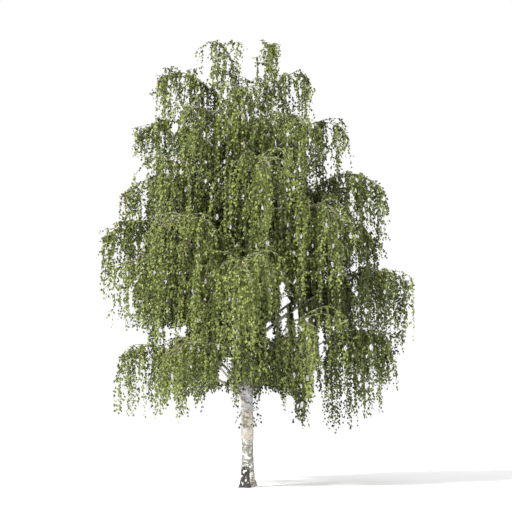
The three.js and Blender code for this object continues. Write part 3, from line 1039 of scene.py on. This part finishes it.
@dataclass(frozen=True)
class Foliage:
    """How twigs, hanging strands, side shoots and leaves grow, by the rule of the solids and on from it."""

    probes: int = 13  # along each line, where it is tried against its mass's reach and the room
    twig_step: float = 0.125  # along the limb
    twig_scatter: float = 0.7  # of a step
    least_twigs: int = 6
    last_twig: float = 0.97
    twig_bearing: Pair = (30.0, 105.0)
    end_twigs: int = 6  # the last ones, which fan out ahead
    end_turn: float = 0.45  # of the usual bearing
    end_sink: float = 0.4  # the most that they turn down at once, as a share of their reach
    twig_reach: Pair = (0.55, 1.5)
    twig_taper: Pair = (1.15, 0.6)
    shortening: float = 0.85  # of a twig that would grow out of its mass
    shortenings: int = 6  # the most
    twig_over: float = 0.8
    side_rise: float = 0.2  # the most at the crown's sides
    front_rise: float = 0.7  # the most at its front and back
    least_fall: float = 0.12
    twig_fall: Pair = (0.2, 1.0)
    spray_length: float = 1.38  # of the longest spray of the solids
    strand_step: float = 0.54  # along a twig
    stem_step: float = 0.15  # along the limb
    inner: float = 1.5  # the power of each strand's share along the limb, which crowds them to the trunk
    strand_turn: float = 110.0  # the most that one leaves to either side of its twig's bearing
    strand_out: Pair = (0.04, 0.22)
    strand_rise: Pair = (0.0, 0.05)
    upright_share: Pair = (0.2, 0.45)  # of strands on twigs and on limbs that stand up first
    upright_rise: Pair = (0.1, 0.36)
    side_stand: float = 0.25  # how far they stand up at the crown's sides, as a share of front and back
    strand_over: float = 0.8  # of how far out it hangs, where it bends over
    strand_middle: float = 0.45  # of its length
    strand_sway: float = 0.1
    tip_sway: float = 0.6  # of the middle's
    strand_share: float = 0.55  # the power of the random share of the room that a strand takes
    upright_length: float = 0.6  # of a strand that stands up first, beside others
    inwards: float = 2.2  # how soon the tips follow the habit's arch on the way to the trunk
    bunch: float = 0.42  # from one bunch of strands to the next
    gather: float = 0.75  # how far strands draw together in bunches, up to 1
    shortest: float = 0.16
    shoot_step: float = 0.31  # along a strand
    shoot_place: Pair = (0.03, 0.93)
    shoot_length: Pair = (0.12, 0.48)
    shoot_taper: Pair = (1.1, 0.7)
    shoot_gap: float = 0.03  # the least from its tip up from its strand's
    shoot_out: Pair = (0.05, 0.24)
    shoot_spread: float = 1.15  # how far out its tip hangs, as a share of its bend's
    shoot_rise: float = 0.02
    shoulder: float = 0.45  # of the hang, over which a mass narrows to its top
    narrowest: float = 1.3  # the most that it narrows, in its habit's roundings
    roughness: Pair = (-0.04, 0.07)  # how much narrower it is from place to place
    waves: tuple[float, ...] = (7.0, 4.0, 3.0, 5.0)  # the p, q, r and s of the places' waves
    opening_size: Pair = (0.35, 1.3)  # of the openings for each line, for softer edges
    leaf_scatter: float = 50.0  # of its turn round its strand
    leaf_tilt: tuple[float, ...] = (0.5, 0.7, 1.1)  # how far its face turns outwards, upwards and by chance
    leaf_length: Pair = (0.058, 0.09)
    leaf_width: float = 0.8  # of the length
    leaf_widest: float = 0.42  # of the way from foot to tip
    leaf_fold: float = 0.1  # how deep it is folded along its middle
    leaf_curl: float = 0.12  # how far its tip curls down
    light: tuple[float, ...] = (0.31, 0.15, 0.25, 0.5)  # how much lighter the tints are by distance out and by height, which is painted light and shade, and by chance for each strand and shoot
    tint_limits: tuple[float, ...] = (0.42, 0.58, 0.74, 0.91)
    painted_sun: Pair = (264.0, 0.14)  # painted light: the bearing of the side whose tints are painted lighter as if in sun, and how much lighter
    turning: float = 0.01  # the share of shoots that have turned yellow


@dataclass(frozen=True)
class Habit:
    """How closely one mass grows, and where its strands end."""

    sparse: float = 1.0  # how much longer than usual its steps are
    shortest: float = 0.35  # the least length of a strand, as a share of the room down to the lowest tips
    lifted: float = 0.0  # how much higher its lowest tips are than the solid's
    ragged: float = 0.3  # how much higher than the lowest tips others end
    arched: float = -0.95  # how much higher the tips are at the trunk than at the edge
    rounding: float = 0.06  # how much it narrows to its top


HABITS = {
    "skirt": Habit(1.0, 0.5, 0.0, 0.6, 0.3),
    "skirt_1": Habit(0.72, 0.55, 0.35, 0.4, -0.6),
    "skirt_4": Habit(0.9, 0.55, 0.05, 0.5, 0.1, 0.12),
    "skirt_5": Habit(0.85, 0.5, 0.12, 0.7, 0.35),
    "skirt_6": Habit(0.85, 0.55, 0.05, 0.6, 0.4),
    "low": Habit(),
    "low_1": Habit(0.78, rounding=0.09),
    "low_4": Habit(0.76),
    "low_5": Habit(0.95, 0.35, 0.0, 0.3, -1.4),
    "low_6": Habit(0.85, 0.45, 0.0, 0.3, -1.7),
    "wide": Habit(),
    "wide_1": Habit(0.8, 0.5),
    "wide_4": Habit(0.74),
    "middle": Habit(),
    "middle_1": Habit(0.82, 0.45, rounding=0.13),
    "middle_4": Habit(0.75),
    "shoulder": Habit(0.85),
    "shoulder_3": Habit(0.7, rounding=0.02),
    "upper": Habit(0.85, 0.55),
    "upper_3": Habit(0.78, 0.5, rounding=0.03),
    "leader": Habit(0.8, 0.25, 0.0, 0.3, 0.0),
    "leader_left": Habit(0.76, 0.55, 0.0, 0.3, 0.0),
}


def spaced(lines: Array, step: float, rng: Rng) -> tuple[Array, Array]:
    """Shares out places along lines: each line is cut in equal steps, with one place at random in each.

    Args:
        lines: The lines, as (lines, places, 3).
        step: The length of a step.
        rng: The source of the random numbers.

    Returns:
        The number of each place's line, and its share of the way along it.
    """
    numbers = np.maximum(1, np.round(lengths_of(lines) / step).astype(int))
    line = np.repeat(np.arange(len(lines)), numbers)
    order = np.arange(len(line)) - np.repeat(np.cumsum(numbers) - numbers, numbers)
    return line, (order + rng.random(len(line))) / numbers[line]


def lengths_of(lines: Array) -> Array:
    """Gives the length of each line, for lines as (lines, places, 3)."""
    return np.linalg.norm(np.diff(lines, axis=1), axis=2).sum(axis=1)


def points_on(lines: Array, line: Array | int, share: Array) -> Array:
    """Gives points on lines.

    Args:
        lines: The lines, as (lines, places, 3).
        line: The number of each point's line.
        share: The share of its line's steps that each point lies along it.

    Returns:
        The points, as (points, 3).
    """
    places = np.clip(share, 0.0, 1.0) * (lines.shape[1] - 1)
    step = np.minimum(places.astype(int), lines.shape[1] - 2)
    return mix(lines[line, step], lines[line, step + 1], (places - step)[:, None])


def whole_curve(curve: Array, places: int) -> Array:
    """Gives points along one whole Bezier curve, as (1, places, 3), from its control points as (4, 3)."""
    return bezier(curve[:, None, :], np.linspace(0.0, 1.0, places)[None])


@dataclass
class Growth:
    """Lines of one kind of wood in a mass."""

    wood: Wood
    lines: Array  # as (lines, places, 3)
    out: Array  # the level vector that each leaves along, as (lines, 3)
    tint: Array  # each line's number in the leaves' tints

    def add_wood(self, parts: MeshParts) -> None:
        """Adds a tube along each line, with a radius that falls straight from root to tip.

        Args:
            parts: What they are added to.
        """
        taper = mix(*self.wood.radii, np.linspace(0.0, 1.0, self.lines.shape[1]))[None, :, None]
        radii = np.broadcast_to(taper, (*self.lines.shape[:2], self.wood.sides))
        parts.add(*tubes(self.lines, radii, np.cross(UP, self.out)), self.wood.finish)


@dataclass
class Mass:
    """One mass of foliage: its stem, and all that grows from it and keeps to its reach."""

    name: str
    limb: Array | None
    stem: Array
    foot: Array
    bearing: float
    reach: float
    lowest: float
    spread: float
    hang: float
    leafy: float  # where along the limb and stem its foliage starts
    rule: Foliage
    habit: Habit
    room: Room
    line: Array = field(init=False)  # its limb, where it has one, and stem, as (1, places, 3)

    def __post_init__(self) -> None:
        """Joins the limb and the stem in one line."""
        stem = whole_curve(self.stem, STEM.places)
        limb = stem[:, :1] if self.limb is None else whole_curve(self.limb, STEM.places)
        self.line = np.concatenate([limb, stem[:, 1:]], axis=1)

    def loose(self, side: float, front: float) -> float:
        """Gives a value between one at the crown's sides and one at its front and back."""
        return mix(side, front, abs(math.sin(math.radians(self.bearing))))

    def distance(self, points: Array) -> Array:
        """Gives each point's level distance from the mass's foot, for points in any shape that ends in 3."""
        return np.hypot(points[..., 0] - self.foot[0], points[..., 1] - self.foot[1])

    def within(self, points: Array) -> Array:
        """Gives True for each point inside the mass's reach from its foot.

        The reach shrinks towards the mass's top, and by waves with the bearing a and the height z: sin(pa +
        qz + b) times cos(ra - sz - b), where b is the mass's own bearing.

        Args:
            points: The points, in any shape that ends in 3.

        Returns:
            True or False for each.
        """
        a = np.arctan2(points[..., 1] - self.foot[1], points[..., 0] - self.foot[0])
        z = points[..., 2]
        above = (z - self.line[0, :, 2].max()) / (self.rule.shoulder * self.hang)
        p, q, r, s = self.rule.waves
        waves = np.sin(p * a + q * z + self.bearing) * np.cos(r * a - s * z - self.bearing)
        narrower = self.habit.rounding * np.clip(1.0 + above, 0.0, self.rule.narrowest)
        narrower += mix(*self.rule.roughness, 0.5 + 0.5 * waves)
        return self.distance(points) < self.reach * (1.0 - narrower)

    def carried(self, control: list[Array], places: int, rng: Rng) -> tuple[Array, Array]:
        """Follows Bezier curves, each as far as it keeps to the mass's reach and to the room.

        Args:
            control: The control points, each as (curves, 3).
            places: The number of points wanted on each.
            rng: The source of the random numbers.

        Returns:
            The points, as (curves, places, 3), and True for each curve that is long enough to keep.
        """
        stacked = np.stack(control)
        probes = np.linspace(0.0, 1.0, self.rule.probes)
        trial = bezier(stacked, np.broadcast_to(probes, (stacked.shape[1], len(probes))))
        size = mix(*self.rule.opening_size, rng.random((len(trial), 1)))
        clear = self.room.inside(trial) & self.room.viewer.clear(trial, size) & self.within(trial)
        first = np.where(clear.all(axis=1), len(probes), np.argmin(clear, axis=1))
        share = probes[np.maximum(first - 1, 0)]
        lines = bezier(stacked, share[:, None] * np.linspace(0.0, 1.0, places))
        return lines, lengths_of(lines) > 0.5 * self.rule.shortest

    def gathered(self, points: Array) -> Array:
        """Draws points together in upright bunches.

        Each level place p moves to p - g / k times sin(kp + b). Here k is a full turn over the distance
        between bunches, g is how far they draw together, and b is the mass's own bearing.

        Args:
            points: The points, in any shape that ends in 3.

        Returns:
            The moved points.
        """
        wave = 2.0 * math.pi / self.rule.bunch
        return points - self.rule.gather / wave * np.sin(wave * points + self.bearing) * (1.0 - UP)

    def twigs(self, rng: Rng) -> tuple[Array, Array]:
        """Grows the twigs, which go out and over, then down, left and right by turns. The last fan out ahead.

        Args:
            rng: The source of the random numbers.

        Returns:
            Their lines, as (twigs, places, 3), and the level vector that each leaves along, as (twigs, 3).
        """
        rule = self.rule
        length = lengths_of(self.line)[0] * (rule.last_twig - self.leafy)
        number = max(rule.least_twigs, round(length / (rule.twig_step * self.habit.sparse)))
        order = np.arange(number)
        place = (order + rule.twig_scatter * rng.random(number)) / number
        start = points_on(self.line, 0, mix(self.leafy, rule.last_twig, place))
        aside = mix(*rule.twig_bearing, rng.random(number)) * np.where(order % 2 == 1, 1.0, -1.0)
        before_end = order < number - rule.end_twigs
        away = level(self.bearing + aside * np.where(before_end, 1.0, rule.end_turn))
        reach = self.spread * mix(*rule.twig_reach, rng.random(number))
        reach *= mix(*rule.twig_taper, order / (number - 1))
        fall = max(rule.least_fall * self.hang, self.hang - rule.spray_length)
        fall *= mix(*rule.twig_fall, rng.random(number))
        for _ in range(rule.shortenings):
            reach = np.where(self.within(start + reach[:, None] * away), reach, rule.shortening * reach)
        most = np.where(before_end, self.loose(rule.side_rise, rule.front_rise), -rule.end_sink)
        rise = reach * most * rng.random(number)
        over = start + (rule.twig_over * reach)[:, None] * away + rise[:, None] * UP
        end = start + reach[:, None] * away - fall[:, None] * UP
        lines, keep = self.carried([start, over, end], TWIG.places, rng)
        return lines[keep], away[keep]

    def strands(self, twigs: Array, away: Array, rng: Rng) -> tuple[Array, Array]:
        """Grows the strands that hang from the twigs and from the stem.

        A strand leaves outwards on a level bearing and a little upwards, turns down, sways, and hangs to its
        tip, which stays above the mass's lowest ones.

        Args:
            twigs: The twigs' lines.
            away: The twigs' level vectors.
            rng: The source of the random numbers.

        Returns:
            The strands' lines, as (strands, places, 3), and the level vector of each, as (strands, 3).
        """
        rule, habit = self.rule, self.habit
        twig, share = spaced(twigs, rule.strand_step * habit.sparse, rng)
        _, place = spaced(self.line, rule.stem_step * habit.sparse, rng)
        place = place**rule.inner
        place = place[place > self.leafy]
        root = np.concatenate([points_on(twigs, twig, share), points_on(self.line, 0, place)])
        across = np.degrees(np.arctan2(away[twig, 1], away[twig, 0]))
        base = np.concatenate([across, np.full(len(place), self.bearing)])
        number = len(root)
        out = level(base + rule.strand_turn * (2.0 * rng.random(number) - 1.0))
        lean = mix(*rule.strand_out, rng.random(number))[:, None]
        out = np.where(self.within(root + lean * out)[:, None], out, -out)
        upright = rng.random(number) < np.where(np.arange(number) < len(twig), *rule.upright_share)
        stand = mix(*rule.upright_rise, rng.random(number)) * self.loose(rule.side_stand, 1.0)
        rise = np.where(upright, stand, mix(*rule.strand_rise, rng.random(number)))
        inwards = np.clip(rule.inwards * (1.0 - self.distance(root) / self.reach), 0.0, 1.0)
        floor = self.lowest + habit.lifted + habit.arched * inwards + habit.ragged * rng.random(number) ** 2
        share = mix(habit.shortest, 1.0, rng.random(number) ** rule.strand_share)
        share *= np.where(upright, rule.upright_length, 1.0)
        length = ((root[:, 2] - floor) * share)[:, None]
        sway = rule.strand_sway * (2.0 * rng.random((2, number, 3)) - 1.0) * (1.0 - UP)
        bend = root + rule.strand_over * lean * out + rise[:, None] * UP
        below = self.gathered(root + lean * out)
        middle = below + sway[0] - rule.strand_middle * length * UP
        tip = below + rule.tip_sway * sway[1] - length * UP
        lines, keep = self.carried([root, bend, middle, tip], STRAND.places, rng)
        keep &= length[:, 0] > rule.shortest
        return lines[keep], out[keep]

    def shoots(self, strands: Array, rng: Rng) -> tuple[Array, Array, Array]:
        """Grows the side shoots of the strands, which hang beside them and end above their tips.

        Args:
            strands: The strands' lines.
            rng: The source of the random numbers.

        Returns:
            The shoots' lines, as (shoots, places, 3), the level vector of each, and the number of its strand.
        """
        rule = self.rule
        strand, share = spaced(strands, rule.shoot_step, rng)
        share = mix(*rule.shoot_place, share)
        root = points_on(strands, strand, share)
        number = len(root)
        out = level(360.0 * rng.random(number))
        lean = mix(*rule.shoot_out, rng.random(number))[:, None]
        length = mix(*rule.shoot_length, rng.random(number)) * mix(*rule.shoot_taper, share)
        length = np.minimum(length, root[:, 2] - strands[strand, -1, 2] - rule.shoot_gap)[:, None]
        bend = root + lean * out + rule.shoot_rise * UP
        tip = root + rule.shoot_spread * lean * out - length * UP
        lines, keep = self.carried([root, bend, tip], SHOOT.places, rng)
        keep &= length[:, 0] > 0.5 * rule.shortest
        return lines[keep], out[keep], strand[keep]

    def tints(self, light: Array, rng: Rng) -> Array:
        """Deals each spray its tint by its painted light and shade, and turns a few of them yellow.

        Args:
            light: How light each is painted.
            rng: The source of the random numbers.

        Returns:
            The tints' numbers.
        """
        tint = np.searchsorted(np.array(self.rule.tint_limits), light)
        return np.where(rng.random(len(light)) < self.rule.turning, len(LeafTint) - 1, tint)

    def light(self, roots: Array, rng: Rng) -> Array:
        """Gives how light a spray's tint is painted: painted light far out, high up and on the sunny side,
        and painted shade near the trunk and low down, with some chance.

        Args:
            roots: Where it starts, as (lines, 3).
            rng: The source of the random numbers.

        Returns:
            A value for each, about 0 to 1.
        """
        by_distance, by_height, by_strand, _ = self.rule.light
        # painted shade near the trunk and low down, painted light far out and high up
        share = by_distance * self.distance(roots) / self.reach
        share += by_height * (roots[:, 2] - self.lowest) / self.hang
        # painted light: sprays on the sunny side get lighter tints
        painted_sun_bearing, painted_sun_extra = self.rule.painted_sun
        share += painted_sun_extra * math.cos(math.radians(self.bearing - painted_sun_bearing))
        return share + by_strand * rng.random(len(roots))

    def grow(self, rng: Rng) -> list[Growth]:
        """Grows the stem, the twigs, the strands and the shoots, and deals out their tints.

        Args:
            rng: The source of the random numbers.

        Returns:
            The four kinds of growth.
        """
        twigs, away = self.twigs(rng)
        strands, out = self.strands(twigs, away, rng)
        shoots, shoot_out, strand = self.shoots(strands, rng)
        stem = np.minimum(whole_curve(self.stem, STEM.places), self.room.high - STEM.radii[0])
        chance = self.rule.light[-1]
        twig_painted_light = self.light(twigs[:, TWIG.places // 2], rng)
        strand_painted_light = self.light(strands[:, 0], rng)
        twig_tint = self.tints(twig_painted_light + chance * rng.random(len(twigs)), rng)
        strand_tint = self.tints(strand_painted_light + chance * rng.random(len(strands)), rng)
        shoot_tint = self.tints(strand_painted_light[strand] + chance * rng.random(len(shoots)), rng)
        return [
            Growth(STEM, stem, level([self.bearing]), twig_tint[:1]),
            Growth(TWIG, twigs, away, twig_tint),
            Growth(STRAND, strands, out, strand_tint),
            Growth(SHOOT, shoots, shoot_out, shoot_tint),
        ]

    def leaves(self, growth: Growth, rng: Rng) -> tuple[Array, Array]:
        """Sets leaves along lines, each a golden turn round from the one before.

        A leaf points out and down by its droop. It has five corners: its foot, the left edge, middle and
        right edge at its widest, and its tip. It is folded along its middle and curls down at its tip.

        Args:
            growth: The lines that bear them.
            rng: The source of the random numbers.

        Returns:
            The corners of those that keep to the room, as (leaves, 5, 3), and their tints.
        """
        rule = self.rule
        line, share = spaced(growth.lines, growth.wood.leaf_step, rng)
        root = points_on(growth.lines, line, share)
        number = len(root)
        out = level(GOLDEN_TURN * np.arange(number) + rule.leaf_scatter * rng.random(number))
        heading = unit(out - mix(*growth.wood.leaf_droop, rng.random(number))[:, None] * UP)
        outwards, upwards, chance = rule.leaf_tilt
        upper = outwards * out + upwards * UP + chance * (rng.random((number, 3)) - 0.5)
        side = unit(np.cross(heading, upper))
        face = np.cross(side, heading)
        size = mix(*rule.leaf_length, rng.random(number))[:, None]
        half = 0.5 * rule.leaf_width * size * side
        widest = root + rule.leaf_widest * size * heading
        middle = widest - rule.leaf_fold * size * face
        tip = root + size * heading - rule.leaf_curl * size * face
        corners = np.stack([root, widest + half, middle, widest - half, tip], axis=1)
        keep = self.room.inside(corners).all(axis=1) & self.room.leafy(corners[:, 2])
        return corners[keep], growth.tint[line[keep]]


@dataclass
class Crown:
    """All the masses, and how they are planned, grown and dressed."""

    line: TrunkLine
    room: Room
    arch: Arch = field(default_factory=Arch)
    rule: Foliage = field(default_factory=Foliage)
    spread: float = 0.3
    leader_spread: float = 0.7
    leader_bearing: float = 270.0
    limb_root: Pair = (0.013, 0.0085)  # its radius for no reach, and for each metre of it
    thin_root: Pair = (0.03, 0.6)  # the most for a thin limb, in metres and as a share of the trunk's there
    limb_tip: float = 0.017
    limb_taper: float = 0.8  # the most for its tip, as a share of its root's radius
    leafy: float = 0.03  # of the way along each limb, where its foliage starts
    leader_leafy: Pair = (0.1, 0.3)  # on the trunk's tip and on a limb of its own
    seed_step: int = 97
    leader_deepest: float = 2.4  # how far the leaders' own strands hang, below the solids' sprays
    leader_trunk: float = 1.2  # of the trunk's tip, which bears twigs of the left leader
    boughs: Boughs = field(default_factory=Boughs)
    masses: list[Mass] = field(default_factory=list)

    def plan(self) -> None:
        """Plans every limb and mass, in the order of the solids, so that the stream gives the same arches."""
        stream = Stream(SEED)
        for tier in TIERS:
            for index, bearing in enumerate(tier.bearings):
                self.plan_tier(tier, index, bearing, stream)
        for leader in LEADERS:
            self.plan_leader(leader)

    def plan_tier(self, tier: Tier, index: int, bearing: float, stream: Stream) -> None:
        """Plans one limb of a tier and its mass.

        Args:
            tier: The tier.
            index: The limb's number in it, from 0.
            bearing: Its bearing.
            stream: The source of its arch's height.
        """
        bough, stem, hang = self.arch.curves(tier, index, self.line, stream)
        reach = tier.reach(bearing)
        least, more = self.limb_root
        root = least + more * reach
        if tier.thin:
            most, share = self.thin_root
            root = min(most, share * float(self.line.at(bough[:1, 2])[1][0]))
        self.boughs.add(bough, root, min(self.limb_tip, self.limb_taper * root))
        name = f"{tier.name}_{index + 1}"
        self.masses.append(
            Mass(
                name=name,
                limb=bough,
                stem=stem,
                foot=bough[0],
                bearing=bearing,
                reach=reach,
                lowest=stem[2, 2] - self.arch.deepest * hang,
                spread=self.spread * reach,
                hang=hang,
                leafy=self.leafy,
                rule=self.rule,
                habit=HABITS.get(name, HABITS[tier.name]),
                room=self.room,
            )
        )

    def plan_leader(self, leader: Leader) -> None:
        """Plans one leader, its limb where it has one, and its mass.

        Args:
            leader: The leader.
        """
        limb, stem = leader.curves(self.line)
        on_trunk, on_limb = self.leader_leafy
        if limb is not None:
            self.boughs.add(limb, self.thin_root[0], self.limb_tip)
        self.masses.append(
            Mass(
                name=leader.name,
                limb=self.line.top(self.leader_trunk) if limb is None else raised(limb),
                stem=stem,
                foot=stem[0] if limb is None else limb[0],
                bearing=self.leader_bearing,
                reach=leader.reach,
                lowest=leader.crest - self.leader_deepest * leader.hang,
                spread=self.leader_spread,
                hang=leader.hang,
                leafy=on_trunk if limb is None else on_limb,
                rule=self.rule,
                habit=HABITS.get(leader.name, HABITS["leader"]),
                room=self.room,
            )
        )

    def dress(self, mass: Mass, number: int, leaf: list[Material], bark: list[Material]) -> list[Piece]:
        """Grows one mass and makes its two pieces, the twigs and the leaves.

        Args:
            mass: The mass.
            number: Its place in the crown, which seeds its growth.
            leaf: The leaves' materials, in the order of the tints.
            bark: The twigs' materials, the stouter ones' first.

        Returns:
            The two pieces.
        """
        rng = np.random.default_rng(SEED + self.seed_step * number)
        grown = mass.grow(rng)
        wood = MeshParts()
        for growth in grown:
            growth.add_wood(wood)
        leaves = [mass.leaves(growth, rng) for growth in grown]
        corners = np.concatenate([blades for blades, _ in leaves])
        tint = np.concatenate([shade for _, shade in leaves])
        first = corners.shape[1] * np.arange(len(corners))
        faces = (first[:, None, None] + LEAF_FACES).reshape(-1, 3)
        blades = MeshParts()
        blades.add(corners, [faces], np.repeat(tint, len(LEAF_FACES)))
        sprigs = wood.build(f"twigs_{mass.name}", smooth=True)
        foliage = blades.build(f"leaves_{mass.name}", smooth=False)
        for piece, materials in ((sprigs, bark), (foliage, leaf)):
            for material in materials:
                piece.data.materials.append(material)
            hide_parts(f"foliage_{mass.name}")
        counts = [len(growth.lines) for growth in grown[2:]]
        log.info("%s: %d leaves, %d twig triangles, %s", mass.name, len(corners), wood.triangles(), counts)
        return [sprigs, foliage]


@dataclass(frozen=True)
class Studio:
    """A pale floor under an even white sky, with one soft lamp above the viewer's left shoulder."""

    floor_size: float = 160.0
    floor_finish: PlainFinish = PlainFinish("studio_floor", "#f7f7f7", 0.9, 0.1)
    sky: float = 1.0
    lamp_power: float = 9.0
    lamp_spread: float = 6.0
    lamp_turn: tuple[float, float, float] = (56.0, 0.0, -42.0)

    def build(self) -> None:
        """Makes the floor, the sky and the lamp."""
        world = bpy.data.worlds.new("white_sky")
        world.use_nodes = True
        background = world.node_tree.nodes["Background"]
        background.inputs["Color"].default_value = (1.0, 1.0, 1.0, 1.0)
        background.inputs["Strength"].default_value = self.sky
        bpy.context.scene.world = world
        half = self.floor_size / 2.0
        corners = half * np.array([[-1, -1, 0], [1, -1, 0], [1, 1, 0], [-1, 1, 0]])
        parts = MeshParts()
        parts.add(corners, [np.array([[0, 1, 2, 3]])])
        floor = parts.build("floor", smooth=False)
        floor.data.materials.append(self.floor_finish.make())
        floor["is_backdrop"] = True
        lamp = bpy.data.lights.new("soft_lamp", "SUN")
        lamp.energy = self.lamp_power
        lamp.angle = math.radians(self.lamp_spread)
        place = bpy.data.objects.new("soft_lamp", lamp)
        place.rotation_euler = tuple(math.radians(turn) for turn in self.lamp_turn)
        bpy.context.scene.collection.objects.link(place)
        bpy.context.scene.view_settings.view_transform = "Standard"


def main() -> None:
    logging.basicConfig(level=logging.INFO, format="%(name)s: %(message)s")
    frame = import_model()
    solid_box = [list(corner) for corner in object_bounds()]
    rng = np.random.default_rng(SEED)
    line, viewer = TrunkLine(), Viewer()
    viewer.make_camera()
    Studio().build()
    pieces = [Trunk(line).build(TRUNK_BARK.make(), rng)]
    crown = Crown(line, Room(viewer, *(np.array(corner) for corner in solid_box)))
    crown.plan()
    nodes = sorted(name for name in frame["nodes"] if name.startswith("bough_"))
    pieces.append(crown.boughs.build(BOUGH_BARK.make(), rng, nodes))
    leaf = [tint.value.make() for tint in LeafTint]
    twig = [SILVER_TWIG_BARK.make(), TWIG_BARK.make()]
    for number, mass in enumerate(crown.masses):
        pieces.extend(crown.dress(mass, number, leaf, twig))
    for piece in pieces:
        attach(piece, "root")


if __name__ == "__main__":
    main()
